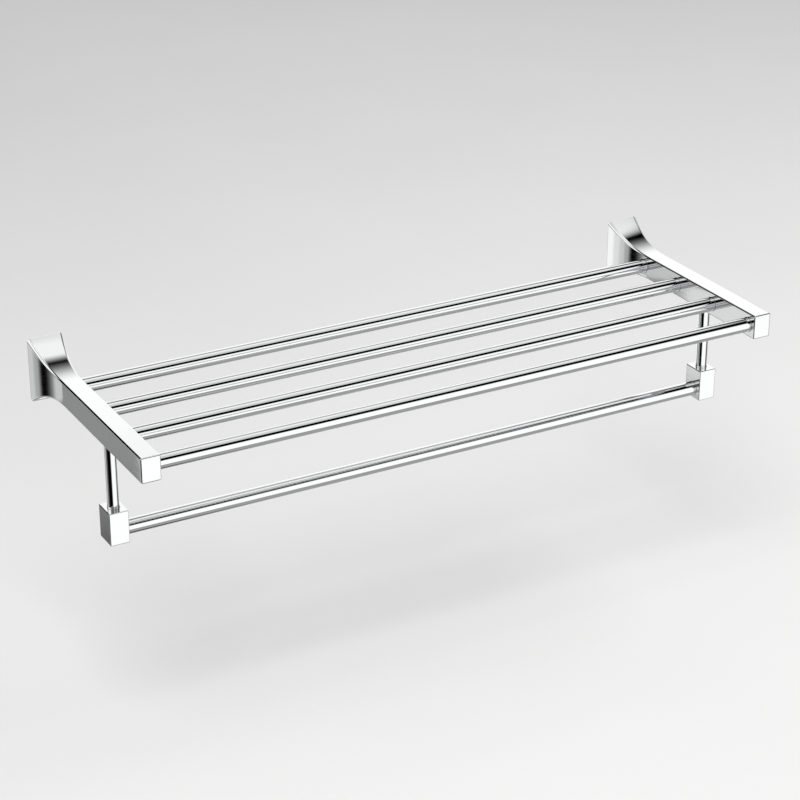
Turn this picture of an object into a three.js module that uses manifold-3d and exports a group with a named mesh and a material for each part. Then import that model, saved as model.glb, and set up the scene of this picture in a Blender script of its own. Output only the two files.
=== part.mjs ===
// A wall-mounted bathroom towel rack: two cast arms with flared wall flanges, a shelf of four round tubes,
// and a towel bar that hangs under the shelf on two posts with square end blocks.
//
// Millimetres, +Z up. X runs along the rack, the wall is the plane Y = 0 with the rack on its -Y side, and
// the origin is midway between the arms at their middle height.
import * as THREE from 'three';
import { mergeVertices } from 'three/addons/utils/BufferGeometryUtils.js';
import Module from 'manifold-3d';

const wasm = await Module();
wasm.setup();

// Driving dimensions.
const RACK_WIDTH = 600; // over the outer faces of the arms
const FIT_GAP = 0.3; // clearance between pieces that touch
const EDGE = 0.8; // eased edge of the castings
const WALL_EDGE = 3; // easing of the flange's long edges where they meet the wall

const ARM_WIDTH = 17;
const ARM_HEIGHT = 22;
const ARM_REACH = 221.6; // wall to front face

const FLANGE_WIDTH = 31.8;
const FLANGE_HEIGHT = 58.2;
const FLARE_RUN = 62; // distance from the wall over which the flare dies away
const FLARE_STEPS = 16;
const SIDE_SHARPNESS = 1.9; // exponents of the concave flare
const HEIGHT_SHARPNESS = 2.4;
const EASE_SHARPNESS = 1.6;
const CAVITY_WALL = 3; // casting thickness round the hollow back of the flange
const CAVITY_DEPTH = 13;
const CAVITY_STEPS = 4;

const TUBE_DIAMETER = 12.7; // half-inch tube, for the shelf and the towel bar
const TUBE_WALL = 0.9;
const TUBE_COUNT = 4;
const FIRST_TUBE = 50.7; // wall to the axis of the first shelf tube
const TUBE_PITCH = 53.5;
const SHELF_SOCKET = 8.5; // depth of the blind sockets in the arms
const BAR_SOCKET = 9.3; // depth of the blind sockets in the blocks

const POST_DIAMETER = 10;
const POST_FROM_WALL = 137;
const POST_VISIBLE = 60; // arm underside to block top
const POST_SEAT = 2.5; // counterbore in the arm
const POST_IN_BLOCK = 11;
const SPIGOT_DIAMETER = 6;
const SPIGOT_LENGTH = 9;

const BLOCK_WIDTH = ARM_WIDTH;
const BLOCK_DEPTH = 22.2;
const BLOCK_HEIGHT = 29.2;
const BAR_ABOVE_BLOCK_FOOT = 8.8; // block underside to the bar's axis

const GRUB_DIAMETER = 4;
const GRUB_RECESS = 0.2;
const GRUB_KEY = 2; // hex socket, across corners
const GRUB_KEY_DEPTH = 1.8;
const FLANGE_SCREW_FROM_WALL = 7;
const FLANGE_SCREW_TAIL = 1.2; // how far its head end sits above the flare's underside

const PLATE_WIDTH = 20.4;
const PLATE_HEIGHT = 34;
const PLATE_THICKNESS = 2;
const PLATE_LIP = 10; // how far the bent lips stand off the wall
const WALL_SCREW_SPACING = 18;
const WALL_SCREW_DIAMETER = 4;
const WALL_SCREW_LENGTH = 20;
const WALL_SCREW_TIP = 4;
const WALL_SCREW_HEAD = 7.6;
const WALL_SCREW_HEAD_HEIGHT = 2.4;
const DRIVE_SLOT = 1.1; // cross recess
const DRIVE_SPAN = 4.2;
const DRIVE_DEPTH = 1.5;

const ROUND_SEGMENTS = 32;
const SMALL_SEGMENTS = 16;
const OVERCUT = 1; // how far a cutter runs past the face that it opens

// Sizes worked out from the driving dimensions.
const ARM_CENTRE = (RACK_WIDTH - ARM_WIDTH) / 2;
const INNER_FACE = ARM_CENTRE - ARM_WIDTH / 2; // of arms and blocks alike
const ARM_TOP = ARM_HEIGHT / 2;
const ARM_BOTTOM = -ARM_TOP;
const TUBE_RADIUS = TUBE_DIAMETER / 2;
const TUBE_LEVEL = 0;
const POST_RADIUS = POST_DIAMETER / 2;
const BLOCK_TOP = ARM_BOTTOM - POST_VISIBLE;
const BLOCK_BOTTOM = BLOCK_TOP - BLOCK_HEIGHT;
const BLOCK_BACK = -POST_FROM_WALL + BLOCK_DEPTH / 2;
const BAR_LEVEL = BLOCK_BOTTOM + BAR_ABOVE_BLOCK_FOOT;
const POST_SCREW_LEVEL = BLOCK_TOP - POST_IN_BLOCK / 2;
const GRUB_RADIUS = GRUB_DIAMETER / 2;
const SHELF_SCREW_X = INNER_FACE + SHELF_SOCKET / 2;
const BAR_SCREW_X = INNER_FACE + BAR_SOCKET / 2;
const LIP_FACE = PLATE_HEIGHT / 2;

const SIDES = [
  { name: 'left', sign: -1 },
  { name: 'right', sign: 1 },
];

// ---- Solids and cuts ----

function toSolid(geometry) {
  const bare = geometry.index ? geometry.toNonIndexed() : geometry.clone();
  bare.deleteAttribute('normal');
  bare.deleteAttribute('uv');
  const merged = mergeVertices(bare, 1e-4);
  const vertProperties = new Float32Array(merged.attributes.position.array);
  const triVerts = new Uint32Array(merged.index.array);
  return new wasm.Manifold(new wasm.Mesh({ numProp: 3, vertProperties, triVerts }));
}

function toGeometry(solid) {
  const mesh = solid.getMesh();
  const geometry = new THREE.BufferGeometry();
  geometry.setAttribute('position', new THREE.BufferAttribute(mesh.vertProperties, 3));
  geometry.setIndex(new THREE.BufferAttribute(mesh.triVerts, 1));
  geometry.computeVertexNormals();
  return geometry;
}

function cut(body, cutters) {
  let solid = toSolid(body);
  for (const cutter of cutters) {
    solid = solid.subtract(toSolid(cutter));
  }
  return toGeometry(solid);
}

// A cylinder along X, Y or Z between two coordinates on that axis.
function rod(axis, radius, from, to, segments = ROUND_SEGMENTS) {
  const geometry = new THREE.CylinderGeometry(radius, radius, Math.abs(to - from), segments);
  const middle = (from + to) / 2;
  if (axis === 'x') {
    geometry.rotateZ(Math.PI / 2);
    geometry.translate(middle, 0, 0);
  } else if (axis === 'z') {
    geometry.rotateX(Math.PI / 2);
    geometry.translate(0, 0, middle);
  } else {
    geometry.translate(0, middle, 0);
  }
  return geometry;
}

function box(width, depth, height) {
  return new THREE.BoxGeometry(width, depth, height);
}

// A closed skin through rings of equal point count, with flat ends. The rings run towards the viewer, who
// sees each one anticlockwise.
function loft(rings) {
  const count = rings[0].length;
  const positions = rings.flat().flatMap((point) => point.toArray());
  const index = [];
  for (let ring = 0; ring < rings.length - 1; ring += 1) {
    for (let k = 0; k < count; k += 1) {
      const a = ring * count + k;
      const b = ring * count + ((k + 1) % count);
      index.push(a, b, b + count);
      index.push(a, b + count, a + count);
    }
  }
  const last = (rings.length - 1) * count;
  for (let k = 1; k < count - 1; k += 1) {
    index.push(0, k + 1, k);
    index.push(last, last + k, last + k + 1);
  }
  const geometry = new THREE.BufferGeometry();
  geometry.setAttribute('position', new THREE.Float32BufferAttribute(positions, 3));
  geometry.setIndex(index);
  return geometry;
}

// Corners of a rectangle with its corners cut off, anticlockwise, as [x, y] pairs.
function easedRectangle(left, right, bottom, top, ease) {
  return [
    [left + ease, bottom],
    [right - ease, bottom],
    [right, bottom + ease],
    [right, top - ease],
    [right - ease, top],
    [left + ease, top],
    [left, top - ease],
    [left, bottom + ease],
  ];
}

// ---- Arm with flared flange ----

function flare(fromWall, amount, sharpness) {
  const remaining = Math.max(0, 1 - Math.max(0, fromWall) / FLARE_RUN);
  return amount * remaining ** sharpness;
}

function armLimits(fromWall) {
  const side = flare(fromWall, (FLANGE_WIDTH - ARM_WIDTH) / 2, SIDE_SHARPNESS);
  const rise = flare(fromWall, (FLANGE_HEIGHT - ARM_HEIGHT) / 2, HEIGHT_SHARPNESS);
  return { half: ARM_WIDTH / 2 + side, top: ARM_TOP + rise, bottom: ARM_BOTTOM - rise };
}

function armRing(fromWall, inset) {
  const { half, top, bottom } = armLimits(fromWall);
  const ease = EDGE + flare(fromWall, WALL_EDGE - EDGE, EASE_SHARPNESS);
  const corners = easedRectangle(-half + inset, half - inset, bottom + inset, top - inset, ease);
  return corners.map(([x, z]) => new THREE.Vector3(x, -fromWall, z));
}

function armCasting() {
  const rings = [];
  for (let step = 0; step <= FLARE_STEPS; step += 1) {
    rings.push(armRing((step / FLARE_STEPS) * FLARE_RUN, 0));
  }
  rings.push(armRing(ARM_REACH - EDGE, 0));
  rings.push(armRing(ARM_REACH, EDGE));
  return loft(rings);
}

// The hollow back of the flange follows the flare outside it.
function flangeCavity() {
  const rings = [armRing(-OVERCUT, CAVITY_WALL)];
  for (let step = 0; step <= CAVITY_STEPS; step += 1) {
    rings.push(armRing((step / CAVITY_STEPS) * CAVITY_DEPTH, CAVITY_WALL));
  }
  return loft(rings);
}

function tubeFromWall(number) {
  return FIRST_TUBE + (number - 1) * TUBE_PITCH;
}

function grubBore(from, to, axis) {
  return rod(axis, GRUB_RADIUS + FIT_GAP, from, to, SMALL_SEGMENTS);
}

// An arm about its own middle plane, with its sockets on the side that faces the other arm.
function armGeometry(sign) {
  const faceX = -sign * (ARM_WIDTH / 2);
  const cutters = [flangeCavity()];
  for (let number = 1; number <= TUBE_COUNT; number += 1) {
    const y = -tubeFromWall(number);
    const socket = rod('x', TUBE_RADIUS + FIT_GAP, faceX - sign * OVERCUT, faceX + sign * SHELF_SOCKET);
    cutters.push(socket.translate(0, y, TUBE_LEVEL));
    const bore = grubBore(ARM_BOTTOM - OVERCUT, TUBE_LEVEL, 'z');
    cutters.push(bore.translate(sign * (SHELF_SCREW_X - ARM_CENTRE), y, 0));
  }
  const seat = rod('z', POST_RADIUS + FIT_GAP, ARM_BOTTOM - OVERCUT, ARM_BOTTOM + POST_SEAT);
  cutters.push(seat.translate(0, -POST_FROM_WALL, 0));
  const spigotTop = ARM_BOTTOM + POST_SEAT + SPIGOT_LENGTH + FIT_GAP;
  const spigotBore = rod('z', SPIGOT_DIAMETER / 2 + FIT_GAP, ARM_BOTTOM, spigotTop, SMALL_SEGMENTS);
  cutters.push(spigotBore.translate(0, -POST_FROM_WALL, 0));
  const lockBore = grubBore(-FLANGE_HEIGHT / 2 - OVERCUT, -LIP_FACE, 'z');
  cutters.push(lockBore.translate(0, -FLANGE_SCREW_FROM_WALL, 0));
  return cut(armCasting(), cutters);
}

// ---- Tubes, posts and blocks ----

function tubeGeometry(length) {
  const outer = TUBE_RADIUS;
  const inner = TUBE_RADIUS - TUBE_WALL;
  const half = length / 2;
  const profile = [
    new THREE.Vector2(inner, -half),
    new THREE.Vector2(outer, -half),
    new THREE.Vector2(outer, half),
    new THREE.Vector2(inner, half),
    new THREE.Vector2(inner, -half),
  ];
  const geometry = new THREE.LatheGeometry(profile, ROUND_SEGMENTS);
  geometry.rotateZ(Math.PI / 2);
  return geometry;
}

// A turned post from its foot at Z = 0, with a thinner threaded spigot on top.
function postGeometry() {
  const foot = POST_IN_BLOCK - FIT_GAP;
  const shoulder = foot + POST_VISIBLE + POST_SEAT - FIT_GAP;
  const tip = shoulder + SPIGOT_LENGTH;
  const spigot = SPIGOT_DIAMETER / 2;
  const profile = [
    new THREE.Vector2(0, 0),
    new THREE.Vector2(POST_RADIUS - EDGE, 0),
    new THREE.Vector2(POST_RADIUS, EDGE),
    new THREE.Vector2(POST_RADIUS, shoulder),
    new THREE.Vector2(spigot, shoulder),
    new THREE.Vector2(spigot, tip - EDGE),
    new THREE.Vector2(spigot - EDGE, tip),
    new THREE.Vector2(0, tip),
  ];
  const geometry = new THREE.LatheGeometry(profile, ROUND_SEGMENTS);
  geometry.rotateX(Math.PI / 2);
  return geometry;
}

function blockRing(z, inset) {
  const halfWidth = BLOCK_WIDTH / 2 - inset;
  const halfDepth = BLOCK_DEPTH / 2 - inset;
  const corners = easedRectangle(-halfWidth, halfWidth, -halfDepth, halfDepth, EDGE);
  return corners.map(([x, y]) => new THREE.Vector3(x, y, z));
}

// An end block about its post's axis, with its underside at Z = 0.
function blockGeometry(sign) {
  const body = loft([
    blockRing(0, EDGE),
    blockRing(EDGE, 0),
    blockRing(BLOCK_HEIGHT - EDGE, 0),
    blockRing(BLOCK_HEIGHT, EDGE),
  ]);
  const faceX = -sign * (BLOCK_WIDTH / 2);
  const back = BLOCK_DEPTH / 2 + OVERCUT;
  const postSocket = rod('z', POST_RADIUS + FIT_GAP, BLOCK_HEIGHT - POST_IN_BLOCK, BLOCK_HEIGHT + OVERCUT);
  const barSocket = rod('x', TUBE_RADIUS + FIT_GAP, faceX - sign * OVERCUT, faceX + sign * BAR_SOCKET);
  const barBore = grubBore(0, back, 'y');
  const postBore = grubBore(0, back, 'y');
  return cut(body, [
    postSocket,
    barSocket.translate(0, 0, BAR_ABOVE_BLOCK_FOOT),
    barBore.translate(sign * (BAR_SCREW_X - ARM_CENTRE), 0, BAR_ABOVE_BLOCK_FOOT),
    postBore.translate(0, 0, BLOCK_HEIGHT - POST_IN_BLOCK / 2),
  ]);
}

// ---- Screws and wall plates ----

// A grub screw along +Z from its key end at Z = 0 to its cone point.
function grubGeometry(length) {
  const flat = GRUB_RADIUS * 0.5;
  const profile = [
    new THREE.Vector2(0, 0),
    new THREE.Vector2(GRUB_RADIUS - GRUB_RECESS, 0),
    new THREE.Vector2(GRUB_RADIUS, GRUB_RECESS),
    new THREE.Vector2(GRUB_RADIUS, length - GRUB_RADIUS + flat),
    new THREE.Vector2(flat, length),
    new THREE.Vector2(0, length),
  ];
  const body = new THREE.LatheGeometry(profile, SMALL_SEGMENTS);
  body.rotateX(Math.PI / 2);
  const key = rod('z', GRUB_KEY / 2, -OVERCUT, GRUB_KEY_DEPTH, 6);
  return cut(body, [key]);
}

// A pan-head wall screw along +Z: underside of the head at Z = 0, head below, shank above.
function wallScrewGeometry() {
  const shank = WALL_SCREW_DIAMETER / 2;
  const head = WALL_SCREW_HEAD / 2;
  const crown = -WALL_SCREW_HEAD_HEIGHT;
  const profile = [
    new THREE.Vector2(0, crown),
    new THREE.Vector2(head * 0.55, crown),
    new THREE.Vector2(head * 0.85, crown * 0.75),
    new THREE.Vector2(head, crown * 0.35),
    new THREE.Vector2(head, 0),
    new THREE.Vector2(shank, 0),
    new THREE.Vector2(shank, WALL_SCREW_LENGTH - WALL_SCREW_TIP),
    new THREE.Vector2(0, WALL_SCREW_LENGTH),
  ];
  const body = new THREE.LatheGeometry(profile, SMALL_SEGMENTS);
  body.rotateX(Math.PI / 2);
  const depth = DRIVE_DEPTH + OVERCUT;
  const middle = crown - OVERCUT + depth / 2;
  return cut(body, [
    box(DRIVE_SPAN, DRIVE_SLOT, depth).translate(0, 0, middle),
    box(DRIVE_SLOT, DRIVE_SPAN, depth).translate(0, 0, middle),
  ]);
}

// A bent plate, flat on the wall with a lip along its top and its foot, and two screw holes.
function wallPlateGeometry() {
  const half = PLATE_HEIGHT / 2;
  const outline = new THREE.Shape();
  outline.moveTo(0, -half);
  outline.lineTo(0, half);
  outline.lineTo(-PLATE_LIP, half);
  outline.lineTo(-PLATE_LIP, half - PLATE_THICKNESS);
  outline.lineTo(-PLATE_THICKNESS, half - PLATE_THICKNESS);
  outline.lineTo(-PLATE_THICKNESS, -half + PLATE_THICKNESS);
  outline.lineTo(-PLATE_LIP, -half + PLATE_THICKNESS);
  outline.lineTo(-PLATE_LIP, -half);
  outline.closePath();
  const body = new THREE.ExtrudeGeometry(outline, { depth: PLATE_WIDTH, bevelEnabled: false });
  const alongY = new THREE.Vector3(0, 1, 0);
  const alongZ = new THREE.Vector3(0, 0, 1);
  const alongX = new THREE.Vector3(1, 0, 0);
  body.applyMatrix4(new THREE.Matrix4().makeBasis(alongY, alongZ, alongX));
  body.translate(-PLATE_WIDTH / 2, 0, 0);
  const holes = [-1, 1].map((up) => {
    const radius = WALL_SCREW_DIAMETER / 2 + FIT_GAP;
    const hole = rod('y', radius, -PLATE_THICKNESS - OVERCUT, OVERCUT, SMALL_SEGMENTS);
    return hole.translate(0, 0, (up * WALL_SCREW_SPACING) / 2);
  });
  return cut(body, holes);
}

// ---- Materials ----

function chrome() {
  return new THREE.MeshStandardMaterial({ color: 0xdfe2e4, roughness: 0.06, metalness: 1 });
}

function darkSteel() {
  return new THREE.MeshStandardMaterial({ color: 0x55575a, roughness: 0.4, metalness: 1 });
}

function zincedSteel() {
  return new THREE.MeshStandardMaterial({ color: 0xb4b8ba, roughness: 0.35, metalness: 1 });
}

// ---- Assembly ----

const group = new THREE.Group();

function place(name, geometry, material, x, y, z) {
  const mesh = new THREE.Mesh(geometry, material);
  mesh.name = name;
  mesh.position.set(x, y, z);
  group.add(mesh);
  return mesh;
}

// Grub screws: 'z' points up from the underside of a casting, 'y' points forward from the back of a block.
function placeGrub(name, axis, length, x, y, z) {
  const screw = place(name, grubGeometry(length), darkSteel(), x, y, z);
  if (axis === 'y') {
    screw.rotation.x = Math.PI / 2;
  }
}

function addShelf() {
  const length = 2 * (INNER_FACE + SHELF_SOCKET - FIT_GAP);
  for (let number = 1; number <= TUBE_COUNT; number += 1) {
    place(`shelf_tube_${number}`, tubeGeometry(length), chrome(), 0, -tubeFromWall(number), TUBE_LEVEL);
  }
}

function addTowelBar() {
  const length = 2 * (INNER_FACE + BAR_SOCKET - FIT_GAP);
  place('towel_bar', tubeGeometry(length), chrome(), 0, -POST_FROM_WALL, BAR_LEVEL);
}

function addArm({ name, sign }) {
  place(`arm_${name}`, armGeometry(sign), chrome(), sign * ARM_CENTRE, 0, 0);
  const foot = ARM_BOTTOM + GRUB_RECESS;
  const length = TUBE_LEVEL - TUBE_RADIUS - FIT_GAP - foot;
  for (let number = 1; number <= TUBE_COUNT; number += 1) {
    const screwName = `tube_screw_${name}_${number}`;
    placeGrub(screwName, 'z', length, sign * SHELF_SCREW_X, -tubeFromWall(number), foot);
  }
}

function addWallFixing({ name, sign }) {
  place(`wall_plate_${name}`, wallPlateGeometry(), zincedSteel(), sign * ARM_CENTRE, 0, 0);
  for (const [height, up] of [['upper', 1], ['lower', -1]]) {
    const headY = -PLATE_THICKNESS - FIT_GAP;
    const z = (up * WALL_SCREW_SPACING) / 2;
    const screwName = `wall_screw_${name}_${height}`;
    const screw = place(screwName, wallScrewGeometry(), zincedSteel(), sign * ARM_CENTRE, headY, z);
    screw.rotation.x = -Math.PI / 2;
  }
  const foot = armLimits(FLANGE_SCREW_FROM_WALL).bottom + FLANGE_SCREW_TAIL;
  const length = -LIP_FACE - FIT_GAP - foot;
  placeGrub(`flange_screw_${name}`, 'z', length, sign * ARM_CENTRE, -FLANGE_SCREW_FROM_WALL, foot);
}

function addBarHanger({ name, sign }) {
  const x = sign * ARM_CENTRE;
  const postFoot = BLOCK_TOP - POST_IN_BLOCK + FIT_GAP;
  place(`post_${name}`, postGeometry(), chrome(), x, -POST_FROM_WALL, postFoot);
  place(`bar_block_${name}`, blockGeometry(sign), chrome(), x, -POST_FROM_WALL, BLOCK_BOTTOM);
  const start = BLOCK_BACK - GRUB_RECESS;
  const barScrew = start + POST_FROM_WALL - TUBE_RADIUS - FIT_GAP;
  placeGrub(`bar_screw_${name}`, 'y', barScrew, sign * BAR_SCREW_X, start, BAR_LEVEL);
  const postScrew = start + POST_FROM_WALL - POST_RADIUS - FIT_GAP;
  placeGrub(`post_screw_${name}`, 'y', postScrew, x, start, POST_SCREW_LEVEL);
}

addShelf();
addTowelBar();
for (const side of SIDES) {
  addArm(side);
  addWallFixing(side);
  addBarHanger(side);
}

export default group;
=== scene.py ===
import math

import bmesh
import bpy
from mathutils import Matrix, Vector


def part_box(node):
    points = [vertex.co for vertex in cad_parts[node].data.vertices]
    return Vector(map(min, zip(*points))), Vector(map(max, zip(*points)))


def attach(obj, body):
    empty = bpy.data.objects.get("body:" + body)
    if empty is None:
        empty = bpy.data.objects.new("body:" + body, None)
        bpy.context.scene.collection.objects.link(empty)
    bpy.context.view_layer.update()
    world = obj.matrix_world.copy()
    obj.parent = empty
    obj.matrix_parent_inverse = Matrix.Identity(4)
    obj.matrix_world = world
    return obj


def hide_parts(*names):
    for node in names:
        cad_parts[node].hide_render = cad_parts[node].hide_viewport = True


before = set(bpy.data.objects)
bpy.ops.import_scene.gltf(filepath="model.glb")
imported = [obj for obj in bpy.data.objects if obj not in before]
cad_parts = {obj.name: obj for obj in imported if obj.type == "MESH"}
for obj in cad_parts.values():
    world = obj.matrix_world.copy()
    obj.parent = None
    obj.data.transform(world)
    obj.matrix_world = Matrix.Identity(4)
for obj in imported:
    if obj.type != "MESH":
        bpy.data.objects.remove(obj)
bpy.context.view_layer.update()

# A chrome towel rack: two cast arms with flared wall flanges, a shelf of four tubes,
# and a towel bar on two posts. Metres, in the CAD frame: the wall is the plane Y = 0,
# the rack stands off it towards -Y, and Z is up.

MM = 0.001

# ---- Sizes that the CAD boxes don't give ----
OVERCUT = 1 * MM  # how far a cutter stands out of the face that it cuts
ARM_WIDTH = 17 * MM
ARM_TOP = 11 * MM
ARM_BOTTOM = -ARM_TOP
ARM_EDGE = 1.25 * MM  # radius of the polished edges
WALL_EDGE = 3.2 * MM  # and of the flange's long edges where they meet the wall
EASE_SHARPNESS = 1.6
FLARE_RUN = 62 * MM
FLARE_STEPS = 56
SIDE_SHARPNESS = 1.9
HEIGHT_SHARPNESS = 2.4
CAVITY_WALL = 3 * MM
CAVITY_DEPTH = 13 * MM
CAVITY_STEPS = 10
RIM_EDGE = 0.35 * MM  # eased edge where the flange meets the wall
BLOCK_EDGE = 0.8 * MM
TUBE_WALL = 0.9 * MM
TUBE_EDGE = 0.3 * MM
BORE_PLAY = 0.08 * MM  # looser than nothing, tighter than the CAD gap
MOUTH = 0.25 * MM  # chamfer at the mouth of each socket
SMALL_MOUTH = MOUTH / 5
BARE_MOUTH = OVERCUT / 100  # as good as none
SOCKET_CLEARANCE = 0.3 * MM
POST_RADIUS = 5 * MM
POST_SEAT = 2.5 * MM
POST_EDGE = 0.6 * MM
SPIGOT_RADIUS = 3 * MM
SPIGOT_ROOT = SPIGOT_RADIUS * 0.86
SPIGOT_TIP = SPIGOT_RADIUS * 0.6
SPIGOT_PITCH = 1.0 * MM
GRUB_RADIUS = 2 * MM
GRUB_ROOT = GRUB_RADIUS - 0.38 * MM
GRUB_CONE = GRUB_RADIUS * 0.5
GRUB_EDGE = 0.1 * MM
GRUB_PITCH = 0.7 * MM
GRUB_RELIEF = 0.25 * MM  # room in the hole past the screw's point
GRUB_KEY_RADIUS = 1.0 * MM
GRUB_KEY_DEPTH = 1.8 * MM
SCREW_SHANK = 2 * MM
SCREW_ROOT = 1.35 * MM
SCREW_PITCH = 1.6 * MM
SCREW_TIP = 4 * MM
SCREW_HEAD = 3.8 * MM
SCREW_HEAD_HEIGHT = 2.4 * MM
SCREW_HEAD_EDGE = 0.1 * MM
SCREW_CROWN = SCREW_HEAD_HEIGHT * 0.75  # the round part of the head
SCREW_CROWN_POWER = 0.7  # below 1, the crown is flatter than a ball
SCREW_NECK = 1.5 * MM  # the plain stretch under the head
SCREW_POINT = 0.08 * MM
RECESS_SPAN = 4.2 * MM
RECESS_WIDTH = 1.1 * MM
RECESS_DEPTH = 1.5 * MM
RECESS_TAPER = 0.55
PLATE_THICKNESS = 2 * MM
PLATE_BEND = 0.5 * MM  # inside radius of the bends
PLATE_EDGE = 0.2 * MM

CORNER_STEPS = 6
ROUND_SEGMENTS = 96
BORE_SEGMENTS = 64
SMALL_SEGMENTS = 32
SHARP_ANGLE = math.radians(33)
BEVEL_ANGLE = math.radians(50)
WELD = 1e-7  # points closer than this are one point
LEAST_RADIUS = 0.001 * MM

SIDES = (("left", -1), ("right", 1))
TUBES = tuple(f"shelf_tube_{number}" for number in range(1, 5))


# ---- Mesh helpers ----

def make_object(name, vertices, faces):
    mesh = bpy.data.meshes.new(name)
    mesh.from_pydata([tuple(v) for v in vertices], [], faces)
    mesh.validate()
    piece = bpy.data.objects.new(name, mesh)
    bpy.context.scene.collection.objects.link(piece)
    return piece


def tidy_mesh(piece):
    """Merges doubled points and turns the faces outwards."""
    work = bmesh.new()
    work.from_mesh(piece.data)
    bmesh.ops.remove_doubles(work, verts=work.verts, dist=WELD)
    bmesh.ops.dissolve_degenerate(work, edges=work.edges, dist=WELD)
    bmesh.ops.recalc_face_normals(work, faces=work.faces)
    work.to_mesh(piece.data)
    work.free()
    return piece


def loft(name, rings):
    """A closed skin through rings of equal point count, with flat ends."""
    count = len(rings[0])
    vertices = [point for ring in rings for point in ring]
    faces = []
    for r in range(len(rings) - 1):
        for k in range(count):
            a, b = r * count + k, r * count + (k + 1) % count
            faces.append((a, b, b + count, a + count))
    last = (len(rings) - 1) * count
    faces.append(tuple(reversed(range(count))))
    faces.append(tuple(last + k for k in range(count)))
    return tidy_mesh(make_object(name, vertices, faces))


def axis_matrix(axis):
    """Turns +Z into the given direction."""
    return Vector((0, 0, 1)).rotation_difference(Vector(axis)).to_matrix()


def turned(name, profile, origin, axis, segments=ROUND_SEGMENTS, closed=False):
    """A body of revolution: profile holds (radius, distance along the axis) pairs."""
    turn = axis_matrix(axis)
    rings = []
    for radius, along in profile:
        ring = []
        for k in range(segments):
            angle = 2 * math.pi * k / segments
            point = Vector((radius * math.cos(angle), radius * math.sin(angle), along))
            ring.append(Vector(origin) + turn @ point)
        rings.append(ring)
    if not closed:
        return loft(name, rings)
    rings.append(rings[0])
    vertices = [point for ring in rings for point in ring]
    faces = []
    for r in range(len(rings) - 1):
        for k in range(segments):
            a, b = r * segments + k, r * segments + (k + 1) % segments
            faces.append((a, b, b + segments, a + segments))
    return tidy_mesh(make_object(name, vertices, faces))


def bore(origin, axis, radius, depth, mouth=MOUTH, segments=BORE_SEGMENTS):
    """A cutter that goes in from origin against axis, with a chamfered mouth at origin."""
    profile = [
        (radius, -depth),
        (radius, -mouth),
        (radius + mouth, 0),
        (radius + mouth, OVERCUT),
    ]
    return turned("cutter", profile, origin, axis, segments)


def evaluated_mesh(piece):
    graph = bpy.context.evaluated_depsgraph_get()
    shaped = piece.evaluated_get(graph)
    mesh = bpy.data.meshes.new_from_object(shaped, preserve_all_data_layers=True, depsgraph=graph)
    old = piece.data
    piece.modifiers.clear()
    piece.data = mesh
    mesh.name = old.name
    bpy.data.meshes.remove(old)


def carve(piece, cutters):
    """Cuts the pieces in cutters out of piece, one after another, and removes them."""
    for cutter in cutters:
        step = piece.modifiers.new("carve", "BOOLEAN")
        step.operation = "DIFFERENCE"
        step.solver = "EXACT"
        step.material_mode = "TRANSFER"
        step.object = cutter
        evaluated_mesh(piece)
        bpy.data.objects.remove(cutter)
    return piece


def finish_surface(piece):
    """Smooth shading with crisp edges, and normals that keep the flat faces flat."""
    work = bmesh.new()
    work.from_mesh(piece.data)
    bmesh.ops.remove_doubles(work, verts=work.verts, dist=2 * WELD)
    for face in work.faces:
        face.smooth = True
    for edge in work.edges:
        edge.smooth = len(edge.link_faces) == 2 and edge.calc_face_angle() < SHARP_ANGLE
    work.to_mesh(piece.data)
    work.free()
    weighted = piece.modifiers.new("even_normals", "WEIGHTED_NORMAL")
    weighted.mode = "FACE_AREA"
    weighted.weight = 80
    weighted.keep_sharp = True
    evaluated_mesh(piece)
    return piece


def paint(piece, *materials):
    for material in materials:
        piece.data.materials.append(material)
    return piece


def hand_over(piece, node):
    """Lets a finished piece stand for its CAD node."""
    piece.name = f"{node}_skin"
    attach(piece, "root")
    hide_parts(node)
    return piece


# ---- Materials ----

class Nodes:
    """A short way to build one node tree."""

    def __init__(self, tree):
        self.tree = tree
        tree.nodes.clear()

    def add(self, kind, inputs=None, **settings):
        node = self.tree.nodes.new(kind)
        for key, value in settings.items():
            setattr(node, key, value)
        for key, value in (inputs or {}).items():
            if isinstance(value, bpy.types.NodeSocket):
                self.tree.links.new(value, node.inputs[key])
            else:
                node.inputs[key].default_value = value
        return node

    def math(self, operation, a, b=0.0, c=0.0):
        return self.add("ShaderNodeMath", {0: a, 1: b, 2: c}, operation=operation).outputs[0]

    def remap(self, value, low, high, to_low, to_high, smooth=True):
        kind = "SMOOTHSTEP" if smooth else "LINEAR"
        inputs = {
            "Value": value,
            "From Min": low,
            "From Max": high,
            "To Min": to_low,
            "To Max": to_high,
        }
        return self.add("ShaderNodeMapRange", inputs, interpolation_type=kind).outputs["Result"]

    def noise(self, vector, scale, detail=4.0, roughness=0.55):
        inputs = {"Vector": vector, "Scale": scale, "Detail": detail, "Roughness": roughness}
        return self.add("ShaderNodeTexNoise", inputs).outputs["Fac"]

    def place(self, stretch=(1, 1, 1)):
        where = self.add("ShaderNodeTexCoord").outputs["Object"]
        return self.add("ShaderNodeMapping", {"Vector": where, "Scale": stretch}).outputs["Vector"]


def new_material(name):
    material = bpy.data.materials.new(name)
    material.use_nodes = True
    return material, Nodes(material.node_tree)


def close_metal(nodes, color, rough, normal):
    inputs = {"Base Color": color, "Roughness": rough, "Normal": normal, "Metallic": 1.0}
    shader = nodes.add("ShaderNodeBsdfPrincipled", inputs)
    nodes.add("ShaderNodeOutputMaterial", {"Surface": shader.outputs["BSDF"]})


def bump(nodes, height, distance):
    inputs = {"Height": height, "Distance": distance, "Strength": 1.0}
    return nodes.add("ShaderNodeBump", inputs).outputs["Normal"]


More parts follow.
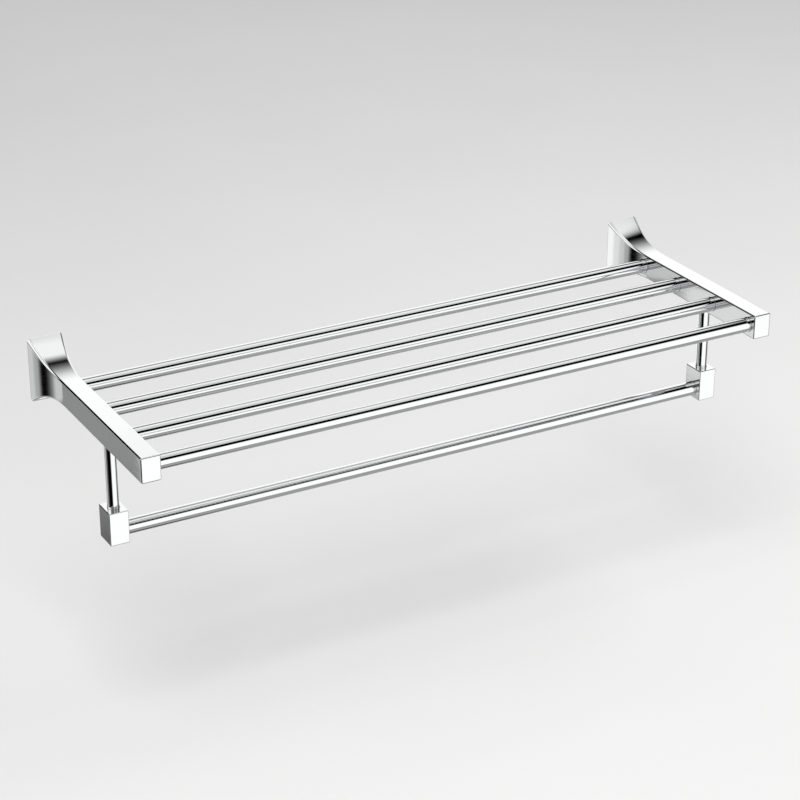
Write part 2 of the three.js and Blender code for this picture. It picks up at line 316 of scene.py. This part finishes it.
def mixed_color(nodes, factor, dark, light):
    mix = nodes.add("ShaderNodeMix", {"Factor": factor}, data_type="RGBA")
    mix.inputs["A"].default_value = (*dark, 1)
    mix.inputs["B"].default_value = (*light, 1)
    return mix.outputs["Result"]


def polished_chrome(name, stretch, smudge_scale, ripple, ripple_scale):
    """Bright plating: nearly a mirror, with faint wiping marks and a slight ripple."""
    material, nodes = new_material(name)
    where = nodes.place()
    streaks = nodes.noise(nodes.place(stretch), 1.0, detail=6.0)
    smudges = nodes.noise(where, smudge_scale, detail=3.0)
    wiped = nodes.remap(smudges, 0.52, 0.74, 0.0, 0.035)
    brushed = nodes.remap(streaks, 0.3, 0.75, 0.028, 0.06)
    rough = nodes.math("ADD", wiped, brushed)
    color = mixed_color(nodes, smudges, (0.80, 0.81, 0.82), (0.85, 0.855, 0.86))
    waves = nodes.noise(where, ripple_scale, detail=1.0)
    close_metal(nodes, color, rough, bump(nodes, waves, ripple))
    return material


def cast_zinc():
    """The unplated inside of a die casting: dull, grainy and slightly blotched."""
    material, nodes = new_material("cast_zinc")
    where = nodes.place()
    grain = nodes.noise(where, 1800.0, detail=5.0)
    blotch = nodes.noise(where, 140.0)
    color = mixed_color(nodes, blotch, (0.30, 0.31, 0.32), (0.50, 0.51, 0.52))
    rough = nodes.remap(grain, 0.3, 0.7, 0.42, 0.62)
    close_metal(nodes, color, rough, bump(nodes, grain, 0.06 * MM))
    return material


def drawn_steel():
    """The bare inside of a tube, with draw marks along it."""
    material, nodes = new_material("drawn_steel")
    marks = nodes.noise(nodes.place((12, 2600, 2600)), 1.0, detail=6.0)
    color = mixed_color(nodes, marks, (0.36, 0.36, 0.36), (0.52, 0.52, 0.51))
    rough = nodes.remap(marks, 0.3, 0.7, 0.28, 0.45)
    close_metal(nodes, color, rough, bump(nodes, marks, 0.02 * MM))
    return material


def blackened_steel():
    """Hardened grub screws with a dark oxide finish that is rubbed brighter in places."""
    material, nodes = new_material("blackened_steel")
    where = nodes.place()
    rub = nodes.noise(where, 900.0, detail=5.0)
    worn = nodes.remap(rub, 0.45, 0.75, 0.0, 1.0)
    color = mixed_color(nodes, worn, (0.055, 0.055, 0.06), (0.22, 0.22, 0.23))
    rough = nodes.remap(rub, 0.3, 0.7, 0.38, 0.26)
    close_metal(nodes, color, rough, bump(nodes, rub, 0.012 * MM))
    return material


def zinc_plating():
    """Pressed steel with bright zinc plating: cool, slightly cloudy, with fine rolling marks."""
    material, nodes = new_material("zinc_plating")
    where = nodes.place()
    cloud = nodes.noise(where, 170.0, detail=5.0)
    rolled = nodes.noise(nodes.place((2200, 60, 60)), 1.0, detail=4.0)
    color = mixed_color(nodes, cloud, (0.52, 0.56, 0.62), (0.74, 0.73, 0.68))
    rough = nodes.remap(rolled, 0.3, 0.7, 0.22, 0.38)
    close_metal(nodes, color, rough, bump(nodes, rolled, 0.008 * MM))
    return material


def bright_stainless():
    """Cold-headed stainless screws with a tumbled finish."""
    material, nodes = new_material("bright_stainless")
    where = nodes.place()
    tumble = nodes.noise(where, 1500.0, detail=4.0)
    color = mixed_color(nodes, tumble, (0.50, 0.49, 0.47), (0.66, 0.65, 0.63))
    rough = nodes.remap(tumble, 0.3, 0.7, 0.18, 0.32)
    close_metal(nodes, color, rough, bump(nodes, tumble, 0.01 * MM))
    return material


CAST_CHROME = polished_chrome("cast_chrome", (700, 40, 700), 26.0, 0.004 * MM, 60.0)
TUBE_CHROME = polished_chrome("tube_chrome", (9, 900, 900), 34.0, 0.001 * MM, 40.0)
CAST_ZINC = cast_zinc()
DRAWN_STEEL = drawn_steel()
BLACK_STEEL = blackened_steel()
ZINC_PLATE = zinc_plating()
STAINLESS = bright_stainless()


# ---- Arms with their flared flanges ----

def flare(from_wall, amount, sharpness):
    remaining = max(0.0, 1 - max(0.0, from_wall) / FLARE_RUN)
    return amount * remaining ** sharpness


def rounded_rectangle(left, right, bottom, top, radius):
    """Points round a rectangle with round corners, anticlockwise."""
    radius = max(radius, LEAST_RADIUS)
    centres = (
        (left + radius, bottom + radius, 180),
        (right - radius, bottom + radius, 270),
        (right - radius, top - radius, 0),
        (left + radius, top - radius, 90),
    )
    points = []
    for x, y, start in centres:
        for step in range(CORNER_STEPS + 1):
            angle = math.radians(start + 90 * step / CORNER_STEPS)
            points.append((x + radius * math.cos(angle), y + radius * math.sin(angle)))
    return points


def arm_ring(centre_x, flange, from_wall, inset=0.0):
    width, height = flange
    half = ARM_WIDTH / 2 + flare(from_wall, (width - ARM_WIDTH) / 2, SIDE_SHARPNESS) - inset
    top = ARM_TOP + flare(from_wall, height / 2 - ARM_TOP, HEIGHT_SHARPNESS) - inset
    radius = ARM_EDGE + flare(from_wall, WALL_EDGE - ARM_EDGE, EASE_SHARPNESS) - inset
    outline = rounded_rectangle(-half, half, -top, top, radius)
    return [Vector((centre_x + x, -from_wall, z)) for x, z in outline]


def arm_casting(name, centre_x, flange, reach):
    rings = []
    for step in range(CORNER_STEPS // 2 + 1):
        angle = math.pi / 2 * step / (CORNER_STEPS // 2)
        inset = RIM_EDGE * (1 - math.sin(angle))
        rings.append(arm_ring(centre_x, flange, RIM_EDGE * (1 - math.cos(angle)), inset))
    for step in range(1, FLARE_STEPS + 1):
        from_wall = RIM_EDGE + (FLARE_RUN - RIM_EDGE) * step / FLARE_STEPS
        rings.append(arm_ring(centre_x, flange, from_wall))
    for step in range(CORNER_STEPS + 1):
        angle = math.pi / 2 * step / CORNER_STEPS
        inset = ARM_EDGE * (1 - math.cos(angle))
        from_wall = reach - ARM_EDGE * (1 - math.sin(angle))
        rings.append(arm_ring(centre_x, flange, from_wall, inset))
    return loft(name, rings)


def flange_cavity(centre_x, flange):
    rings = [arm_ring(centre_x, flange, -OVERCUT, CAVITY_WALL)]
    for step in range(CAVITY_STEPS + 1):
        rings.append(arm_ring(centre_x, flange, CAVITY_DEPTH * step / CAVITY_STEPS, CAVITY_WALL))
    return loft("cutter", rings)


def build_arm(side, sign):
    node = f"arm_{side}"
    low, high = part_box(node)
    centre_x = (low.x + high.x) / 2
    flange = (high.x - low.x, high.z - low.z)
    inner = centre_x - sign * ARM_WIDTH / 2
    arm = paint(arm_casting(node, centre_x, flange, -low.y), CAST_CHROME, CAST_ZINC)
    cutters = [flange_cavity(centre_x, flange)]
    for tube in TUBES:
        tube_low, tube_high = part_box(tube)
        middle = (tube_low + tube_high) / 2
        depth = abs((tube_high.x if sign > 0 else tube_low.x) - inner) + SOCKET_CLEARANCE
        radius = (tube_high.z - tube_low.z) / 2 + BORE_PLAY
        cutters.append(bore((inner, middle.y, middle.z), (-sign, 0, 0), radius, depth))
    for number in range(1, 5):
        cutters.append(grub_hole(f"tube_screw_{side}_{number}", (0, 0, -1), ARM_BOTTOM))
    post_low, post_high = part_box(f"post_{side}")
    mouth = ((post_low.x + post_high.x) / 2, (post_low.y + post_high.y) / 2, ARM_BOTTOM)
    spigot_depth = post_high.z + SOCKET_CLEARANCE - ARM_BOTTOM
    cutters.append(bore(mouth, (0, 0, -1), POST_RADIUS + BORE_PLAY, POST_SEAT))
    cutters.append(bore(mouth, (0, 0, -1), SPIGOT_RADIUS + BORE_PLAY, spigot_depth))
    cutters.append(grub_hole(f"flange_screw_{side}", (0, 0, -1), low.z, SMALL_MOUTH))
    for cutter in cutters:
        paint(cutter, CAST_ZINC)
    hand_over(finish_surface(carve(arm, cutters)), node)


# ---- Tubes, posts and blocks ----

def grub_hole(node, axis, face, mouth=MOUTH):
    """A cutter for a grub screw's hole, from the outer face to just past the point."""
    low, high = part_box(node)
    origin = (low + high) / 2
    if axis[2]:
        depth = high.z - face + GRUB_RELIEF
        origin.z = face
    else:
        depth = face - low.y + GRUB_RELIEF
        origin.y = face
    return bore(origin, axis, GRUB_RADIUS + BORE_PLAY, depth, mouth, SMALL_SEGMENTS)


def build_tube(node):
    low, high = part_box(node)
    middle = (low + high) / 2
    radius = (high.z - low.z) / 2
    half = (high.x - low.x) / 2
    inner = radius - TUBE_WALL
    profile = [
        (inner, -half + TUBE_EDGE),
        (inner + TUBE_EDGE, -half),
        (radius - TUBE_EDGE, -half),
        (radius, -half + TUBE_EDGE),
        (radius, half - TUBE_EDGE),
        (radius - TUBE_EDGE, half),
        (inner + TUBE_EDGE, half),
        (inner, half - TUBE_EDGE),
    ]
    tube = turned(node, profile, middle, (1, 0, 0), closed=True)
    paint(tube, TUBE_CHROME, DRAWN_STEEL)
    for face in tube.data.polygons:
        offset = face.center - middle
        face.material_index = 1 if math.hypot(offset.y, offset.z) < inner + TUBE_EDGE / 4 else 0
    hand_over(finish_surface(tube), node)


def thread_profile(start, end, root, crest, pitch, steps_per_turn=8):
    """(radius, along, thread depth) rows of a threaded stretch that runs out at both ends."""
    count = max(4, round((end - start) / pitch * steps_per_turn))
    run_out = pitch * 0.8
    rows = []
    for k in range(count + 1):
        along = start + (end - start) * k / count
        fade = min(1.0, (along - start) / run_out, (end - along) / run_out)
        rows.append((root, along, (crest - root) * fade))
    return rows


def threaded(name, rows, pitch, origin, axis, segments=SMALL_SEGMENTS):
    """A body of revolution whose rows carry a thread: (radius, along, thread depth)."""
    turn = axis_matrix(axis)
    rings = []
    for radius, along, depth in rows:
        ring = []
        for k in range(segments):
            share = k / segments
            phase = (along / pitch - share) % 1.0
            crest = radius + depth * (1 - abs(2 * phase - 1))
            angle = 2 * math.pi * share
            point = Vector((crest * math.cos(angle), crest * math.sin(angle), along))
            ring.append(Vector(origin) + turn @ point)
        rings.append(ring)
    return loft(name, rings)


def build_post(side):
    node = f"post_{side}"
    low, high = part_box(node)
    shoulder = ARM_BOTTOM + POST_SEAT - SOCKET_CLEARANCE - low.z
    tip = high.z - low.z
    rows = [
        (POST_RADIUS - POST_EDGE, 0, 0),
        (POST_RADIUS, POST_EDGE, 0),
        (POST_RADIUS, shoulder - POST_EDGE / 2, 0),
        (POST_RADIUS - POST_EDGE / 2, shoulder, 0),
        (SPIGOT_ROOT, shoulder, 0),
    ]
    rows += thread_profile(shoulder, tip - POST_EDGE, SPIGOT_ROOT, SPIGOT_RADIUS, SPIGOT_PITCH)
    rows.append((SPIGOT_TIP, tip, 0))
    origin = ((low.x + high.x) / 2, (low.y + high.y) / 2, low.z)
    post = threaded(node, rows, SPIGOT_PITCH, origin, (0, 0, 1), segments=ROUND_SEGMENTS)
    hand_over(finish_surface(paint(post, TUBE_CHROME)), node)


def rounded_box(name, low, high, radius):
    work = bmesh.new()
    bmesh.ops.create_cube(work, size=1)
    for vertex in work.verts:
        for i in range(3):
            vertex.co[i] = low[i] if vertex.co[i] < 0 else high[i]
    bmesh.ops.bevel(
        work,
        geom=work.edges[:],
        offset=radius,
        segments=CORNER_STEPS,
        profile=0.5,
        affect="EDGES",
    )
    mesh = bpy.data.meshes.new(name)
    work.to_mesh(mesh)
    work.free()
    piece = bpy.data.objects.new(name, mesh)
    bpy.context.scene.collection.objects.link(piece)
    return piece


def build_block(side, sign):
    node = f"bar_block_{side}"
    low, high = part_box(node)
    bar_low, bar_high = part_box("towel_bar")
    post_low, post_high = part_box(f"post_{side}")
    inner = low.x if sign > 0 else high.x
    bar_end = bar_high.x if sign > 0 else bar_low.x
    bar_middle = (bar_low + bar_high) / 2
    block = paint(rounded_box(node, low, high, BLOCK_EDGE), CAST_CHROME, CAST_ZINC)
    bar_radius = (bar_high.z - bar_low.z) / 2 + BORE_PLAY
    bar_depth = abs(bar_end - inner) + SOCKET_CLEARANCE
    post_top = ((post_low.x + post_high.x) / 2, (post_low.y + post_high.y) / 2, high.z)
    cutters = [
        bore((inner, bar_middle.y, bar_middle.z), (-sign, 0, 0), bar_radius, bar_depth),
        bore(post_top, (0, 0, 1), POST_RADIUS + BORE_PLAY, high.z - post_low.z + SOCKET_CLEARANCE),
        grub_hole(f"bar_screw_{side}", (0, 1, 0), high.y),
        grub_hole(f"post_screw_{side}", (0, 1, 0), high.y),
    ]
    for cutter in cutters:
        paint(cutter, CAST_ZINC)
    hand_over(finish_surface(carve(block, cutters)), node)


# ---- Screws and wall plates ----

def build_grub(node, axis):
    """axis points from the key end to the point."""
    low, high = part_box(node)
    middle = (low + high) / 2
    length = (high.z - low.z) if axis[2] else (high.y - low.y)
    origin = middle - Vector(axis) * length / 2
    rows = [(GRUB_ROOT - GRUB_EDGE, 0, 0), (GRUB_ROOT, GRUB_EDGE, 0)]
    rows += thread_profile(GRUB_EDGE, length - GRUB_CONE, GRUB_ROOT, GRUB_RADIUS, GRUB_PITCH)[1:]
    rows.append((GRUB_CONE, length, 0))
    grub = threaded(node, rows, GRUB_PITCH, origin, axis)
    outwards = [-c for c in axis]
    key = bore(origin, outwards, GRUB_KEY_RADIUS, GRUB_KEY_DEPTH, SMALL_MOUTH, segments=6)
    paint(grub, BLACK_STEEL)
    paint(key, BLACK_STEEL)
    hand_over(finish_surface(carve(grub, [key])), node)


def cross_recess(origin, axis):
    """The tapered cross that a driver fits."""
    half_span, half_width = RECESS_SPAN / 2, RECESS_WIDTH / 2
    turn = axis_matrix(axis)
    outline = [
        (half_span, -half_width),
        (half_span, half_width),
        (half_width, half_width),
        (half_width, half_span),
        (-half_width, half_span),
        (-half_width, half_width),
        (-half_span, half_width),
        (-half_span, -half_width),
        (-half_width, -half_width),
        (-half_width, -half_span),
        (half_width, -half_span),
        (half_width, -half_width),
    ]
    rings = []
    for depth, scale in ((RECESS_DEPTH, RECESS_TAPER), (0, 1.0), (-OVERCUT, 1.0)):
        points = [Vector((x * scale, y * scale, depth)) for x, y in outline]
        rings.append([Vector(origin) + turn @ point for point in points])
    return loft("cutter", rings)


def build_wall_screw(node):
    low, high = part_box(node)
    crown = Vector(((low.x + high.x) / 2, low.y, (low.z + high.z) / 2))
    length = high.y - low.y
    rows = []
    dome_steps = 8
    for k in range(1, dome_steps + 1):
        angle = math.pi / 2 * k / dome_steps
        radius = SCREW_HEAD * math.sin(angle) ** SCREW_CROWN_POWER
        along = SCREW_CROWN * (1 - math.cos(angle))
        rows.append((radius, along, 0))
    rows.append((SCREW_HEAD, SCREW_HEAD_HEIGHT - SCREW_HEAD_EDGE, 0))
    rows.append((SCREW_HEAD - SCREW_HEAD_EDGE, SCREW_HEAD_HEIGHT, 0))
    rows.append((SCREW_ROOT, SCREW_HEAD_HEIGHT, 0))
    thread_start = SCREW_HEAD_HEIGHT + SCREW_NECK
    thread_end = length - SCREW_TIP
    rows += thread_profile(thread_start, thread_end, SCREW_ROOT, SCREW_SHANK, SCREW_PITCH, 12)
    rows.append((SCREW_ROOT * 0.5, length - SCREW_TIP * 0.35, 0))
    rows.append((SCREW_POINT, length, 0))
    screw = paint(threaded(node, rows, SCREW_PITCH, crown, (0, 1, 0)), STAINLESS)
    recess = paint(cross_recess(crown, (0, 1, 0)), STAINLESS)
    hand_over(finish_surface(carve(screw, [recess])), node)


def plate_outline(low, high):
    """The plate's bent section in Y and Z: a web on the wall and two lips, with round bends."""
    back, front, foot, head = high.y, low.y, low.z, high.z
    inner, outer = PLATE_BEND, PLATE_BEND + PLATE_THICKNESS
    points = []

    def arc(y, z, radius, start, end):
        for k in range(CORNER_STEPS + 1):
            angle = math.radians(start + (end - start) * k / CORNER_STEPS)
            points.append((y + radius * math.cos(angle), z + radius * math.sin(angle)))

    arc(back - outer, foot + outer, outer, -90, 0)
    arc(back - outer, head - outer, outer, 0, 90)
    points.append((front, head))
    points.append((front, head - PLATE_THICKNESS))
    arc(back - outer, head - outer, inner, 90, 0)
    arc(back - outer, foot + outer, inner, 0, -90)
    points.append((front, foot + PLATE_THICKNESS))
    points.append((front, foot))
    return points


def build_wall_plate(side):
    node = f"wall_plate_{side}"
    low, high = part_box(node)
    outline = plate_outline(low, high)
    rings = [[Vector((x, y, z)) for y, z in outline] for x in (low.x, high.x)]
    plate = paint(loft(node, rings), ZINC_PLATE)
    cutters = []
    for height in ("upper", "lower"):
        screw_low, screw_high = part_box(f"wall_screw_{side}_{height}")
        screw_x = (screw_low.x + screw_high.x) / 2
        screw_z = (screw_low.z + screw_high.z) / 2
        centre = (screw_x, high.y + OVERCUT, screw_z)
        radius = SCREW_SHANK + SOCKET_CLEARANCE
        hole = bore(centre, (0, 1, 0), radius, PLATE_THICKNESS + 3 * OVERCUT, mouth=BARE_MOUTH)
        cutters.append(paint(hole, ZINC_PLATE))
    carve(plate, cutters)
    eased = plate.modifiers.new("eased_edges", "BEVEL")
    eased.width = PLATE_EDGE
    eased.segments = 2
    eased.limit_method = "ANGLE"
    eased.angle_limit = BEVEL_ANGLE
    evaluated_mesh(plate)
    hand_over(finish_surface(plate), node)


def build_rack():
    for node in TUBES + ("towel_bar",):
        build_tube(node)
    for side, sign in SIDES:
        build_arm(side, sign)
        build_post(side)
        build_block(side, sign)
        build_wall_plate(side)
        for number in range(1, 5):
            build_grub(f"tube_screw_{side}_{number}", (0, 0, 1))
        build_grub(f"flange_screw_{side}", (0, 0, 1))
        build_grub(f"bar_screw_{side}", (0, -1, 0))
        build_grub(f"post_screw_{side}", (0, -1, 0))
        for height in ("upper", "lower"):
            build_wall_screw(f"wall_screw_{side}_{height}")


# ---- Studio ----

FLOOR_LEVEL = -0.30
CAMERA_PLACE = Vector((-0.88670, -1.68608, 0.78554))
CAMERA_AZIMUTH = math.radians(29.052)  # from +Y towards +X
CAMERA_DROP = math.radians(24.835)
CAMERA_ROLL = math.radians(0.079)
CAMERA_LENS = 102.81


def add_camera():
    data = bpy.data.cameras.new("camera")
    data.lens = CAMERA_LENS
    data.sensor_width = 36
    data.clip_start = 0.05
    data.clip_end = 200
    camera = bpy.data.objects.new("camera", data)
    camera.location = CAMERA_PLACE
    turn = Matrix.Rotation(-CAMERA_AZIMUTH, 3, "Z")
    turn = turn @ Matrix.Rotation(math.pi / 2 - CAMERA_DROP, 3, "X")
    camera.rotation_euler = (turn @ Matrix.Rotation(CAMERA_ROLL, 3, "Z")).to_euler()
    bpy.context.scene.collection.objects.link(camera)
    bpy.context.scene.camera = camera


def add_floor():
    material, nodes = new_material("pale_floor")
    tone = nodes.noise(nodes.place(), 3.0, detail=2.0)
    color = mixed_color(nodes, tone, (0.60, 0.60, 0.595), (0.63, 0.63, 0.625))
    shader = nodes.add("ShaderNodeBsdfPrincipled", {"Base Color": color, "Roughness": 0.9})
    nodes.add("ShaderNodeOutputMaterial", {"Surface": shader.outputs["BSDF"]})
    size = 40
    outline = ((-size, -size), (size, -size), (size, size), (-size, size))
    corners = [(x, y, FLOOR_LEVEL) for x, y in outline]
    floor = paint(make_object("floor", corners, [(0, 1, 2, 3)]), material)
    floor.visible_glossy = False


# The surroundings that the chrome mirrors: soft panels on a dome. Each row holds a turn
# (degrees from +Y towards +X) with its two soft edges, a height (degrees over the horizon)
# with its two soft edges, and a tone.
PANELS = (
    (140, 200, 36, 22, -30, 99, 6, 1, 1.0),  # in front of the rack
    (11, 48, 8, 16, -10, 99, 8, 1, 1.0),  # behind it, over the wall
    (11, 60, 8, 8, 32, 99, 10, 1, 1.0),
    (8, 48, 30, 16, -36, -12, 6, 8, 1.0),
    (-57, -54.5, 7, 6, -31, 2, 8, 10, 0.965),  # upright strip to the rear left, fading in steps
    (-55, -51.5, 3, 6, -31, 2, 8, 10, 0.86),
    (-53, -49, 3, 5, -31, -6, 8, 8, 0.77),
    (-104, -44, 8, 4, 8, 74, 8, 8, 1.0),
    (-52, -46.6, 3, 3.2, -31, -12, 8, 4, 0.64),
    (-38, -32.6, 7, 1.6, -27.5, -24.3, 8, 0.8, 0.84),  # strips between it and the wall
    (-35, -30.4, 8, 0.9, -23.7, -18, 0.8, 4, 0.75),
    (-37, -16, 7, 12, -25.5, -19, 14, 4, 0.53),
    (-78, -60, 32, 6, -33, -10, 6, 8, 0.45),
    (56, 74, 10, 6, -40, 30, 8, 12, 0.60),
    (76, 82, 6, 12, -40, 30, 8, 12, 0.97),
    (84, 130, 6, 20, -40, 30, 8, 12, 0.35),
    (222, 240, 12, 1, -16, 60, 5, 10, 0.55),  # beyond the front left, on both sides of the seam
    (-120, -112, 1, 14, -16, 60, 5, 10, 0.55),
    (-100, -45, 20, 15, -70, -40, 8, 6, 0.85),  # pale ground to the left
    (-400, 400, 1, 1, -70, -35, 9, 6, 0.60),  # ground
)
GAP_GLOW = (28, 50, 4, 5, 43, 58, 6, 4, 0.66)  # a paler stretch of the dark gap, over the wall
BASE_TONE = 0.05
DOME_RADIUS = 2.3
TURN_SEAM = -120  # turns run from here to a full circle on
# The overhead panel's tone, the heights of the dark gap under it and the softness of the
# gap's rims, each at the turns of RING_TURNS.
RING_TURNS = (-104, 19, 36, 65, 125, 165)
OVERHEAD_TONES = (0.95, 0.95, 0.95, 0.95, 0.82, 0.78)
RING_TOPS = (54, 57, 53.2, 46.4, 48, 51)
RING_FEET = (54, 59.5, 53, 46, 34, 28)
RING_SOFT_TOP = (4, 18, 13, 4.5, 5, 7)
RING_SOFT_FOOT = (4, 37, 28, 26, 9, 10)
RIM_POWER = 0.45  # below 1, a rim leaves the dark quickly and reaches full light slowly
EYE_POWER = 2.2  # tones are as the eye sees them on the chrome
FULL_LIGHT = 1.2


def window(nodes, value, low, high, soft_low, soft_high):
    """1 between low and high, fading to 0 over the soft distances outside them."""
    rise = nodes.remap(value, low - soft_low, low, 0.0, 1.0)
    fall = nodes.remap(value, high, high + soft_high, 1.0, 0.0)
    return nodes.math("MULTIPLY", rise, fall)


def panel(nodes, turn, height, row):
    """The tone that one panel gives at a turn and height."""
    turn_low, turn_high, turn_in, turn_out, low, high, rise, fall, tone = row
    across = window(nodes, turn, turn_low, turn_high, turn_in, turn_out)
    upwards = window(nodes, height, low, high, rise, fall)
    return nodes.math("MULTIPLY", nodes.math("MULTIPLY", across, upwards), tone)


def by_turn(nodes, turn, values):
    """A value that follows the turn through RING_TURNS and is whole again past the seam."""
    total = values[0]
    for k in range(len(values) - 1):
        rise = values[k + 1] - values[k]
        step = nodes.remap(turn, RING_TURNS[k], RING_TURNS[k + 1], 0, rise, smooth=False)
        total = nodes.math("ADD", step, total)
    back = nodes.remap(turn, TURN_SEAM, RING_TURNS[0], values[-1] - values[0], 0)
    return nodes.math("ADD", total, back)


def dark_ring(nodes, turn, height):
    """The dark gap under the overhead panel, as the shares seen of what is above and below it."""
    over = nodes.math("SUBTRACT", height, by_turn(nodes, turn, RING_TOPS))
    under = nodes.math("SUBTRACT", by_turn(nodes, turn, RING_FEET), height)
    shares = []
    for distance, softness in ((over, RING_SOFT_TOP), (under, RING_SOFT_FOOT)):
        share = nodes.math("DIVIDE", distance, by_turn(nodes, turn, softness))
        shares.append(nodes.math("POWER", nodes.remap(share, 0, 1, 0, 1), RIM_POWER))
    return shares


def turn_and_height(nodes):
    """Where a point of the dome lies, in degrees: the turn from +Y and the height."""
    where = nodes.add("ShaderNodeTexCoord").outputs["Object"]
    unit = nodes.add("ShaderNodeVectorMath", {0: where}, operation="NORMALIZE")
    split = nodes.add("ShaderNodeSeparateXYZ", {"Vector": unit.outputs["Vector"]})
    x, y, z = (split.outputs[axis] for axis in "XYZ")
    height = nodes.math("MULTIPLY", nodes.math("ARCSINE", z), 180 / math.pi)
    turn = nodes.math("MULTIPLY", nodes.math("ARCTAN2", x, y), 180 / math.pi)
    return nodes.math("WRAP", turn, TURN_SEAM + 360, TURN_SEAM), height


def reflection_studio():
    """The dome's light: at each point the brightest panel, less the dark gap."""
    material, nodes = new_material("studio_light")
    turn, height = turn_and_height(nodes)
    above, below = dark_ring(nodes, turn, height)
    total = BASE_TONE
    for row in PANELS:
        total = nodes.math("MAXIMUM", total, panel(nodes, turn, height, row))
    overhead = nodes.math("MULTIPLY", above, by_turn(nodes, turn, OVERHEAD_TONES))
    total = nodes.math("MAXIMUM", nodes.math("MULTIPLY", total, below), overhead)
    total = nodes.math("MAXIMUM", total, panel(nodes, turn, height, GAP_GLOW))
    strength = nodes.math("MULTIPLY", nodes.math("POWER", total, EYE_POWER), FULL_LIGHT)
    light = nodes.add("ShaderNodeEmission", {"Color": (1.0, 1.0, 0.995, 1), "Strength": strength})
    nodes.add("ShaderNodeOutputMaterial", {"Surface": light.outputs["Emission"]})
    return material


def add_reflection_dome():
    """A dome that only mirror-like surfaces see, so the floor and the background stay plain."""
    work = bmesh.new()
    bmesh.ops.create_icosphere(work, subdivisions=5, radius=DOME_RADIUS)
    mesh = bpy.data.meshes.new("studio_dome")
    work.to_mesh(mesh)
    work.free()
    dome = bpy.data.objects.new("studio_dome", mesh)
    bpy.context.scene.collection.objects.link(dome)
    paint(dome, reflection_studio())
    dome.visible_camera = False
    dome.visible_diffuse = False
    dome.visible_shadow = False
    dome.visible_transmission = False


def add_soft_light(name, place, size, power):
    data = bpy.data.lights.new(name, "AREA")
    data.shape = "DISK"
    data.size = size
    data.energy = power
    light = bpy.data.objects.new(name, data)
    light.location = place
    light.rotation_euler = (-Vector(place)).to_track_quat("-Z", "Y").to_euler()
    light.visible_glossy = False
    light.visible_camera = False
    bpy.context.scene.collection.objects.link(light)


def add_world():
    world = bpy.data.worlds.new("pale_room")
    world.use_nodes = True
    nodes = Nodes(world.node_tree)
    glow = nodes.add("ShaderNodeBackground", {"Color": (0.86, 0.865, 0.87, 1), "Strength": 0.75})
    nodes.add("ShaderNodeOutputWorld", {"Surface": glow.outputs["Background"]})
    bpy.context.scene.world = world


def build_studio():
    add_floor()
    add_reflection_dome()
    add_soft_light("key_light", (-1.2, -1.6, 2.4), 1.6, 70)
    add_soft_light("fill_light", (1.6, -0.6, 1.8), 2.0, 30)
    add_world()
    add_camera()
    bpy.context.scene.view_settings.view_transform = "Standard"


build_rack()
build_studio()
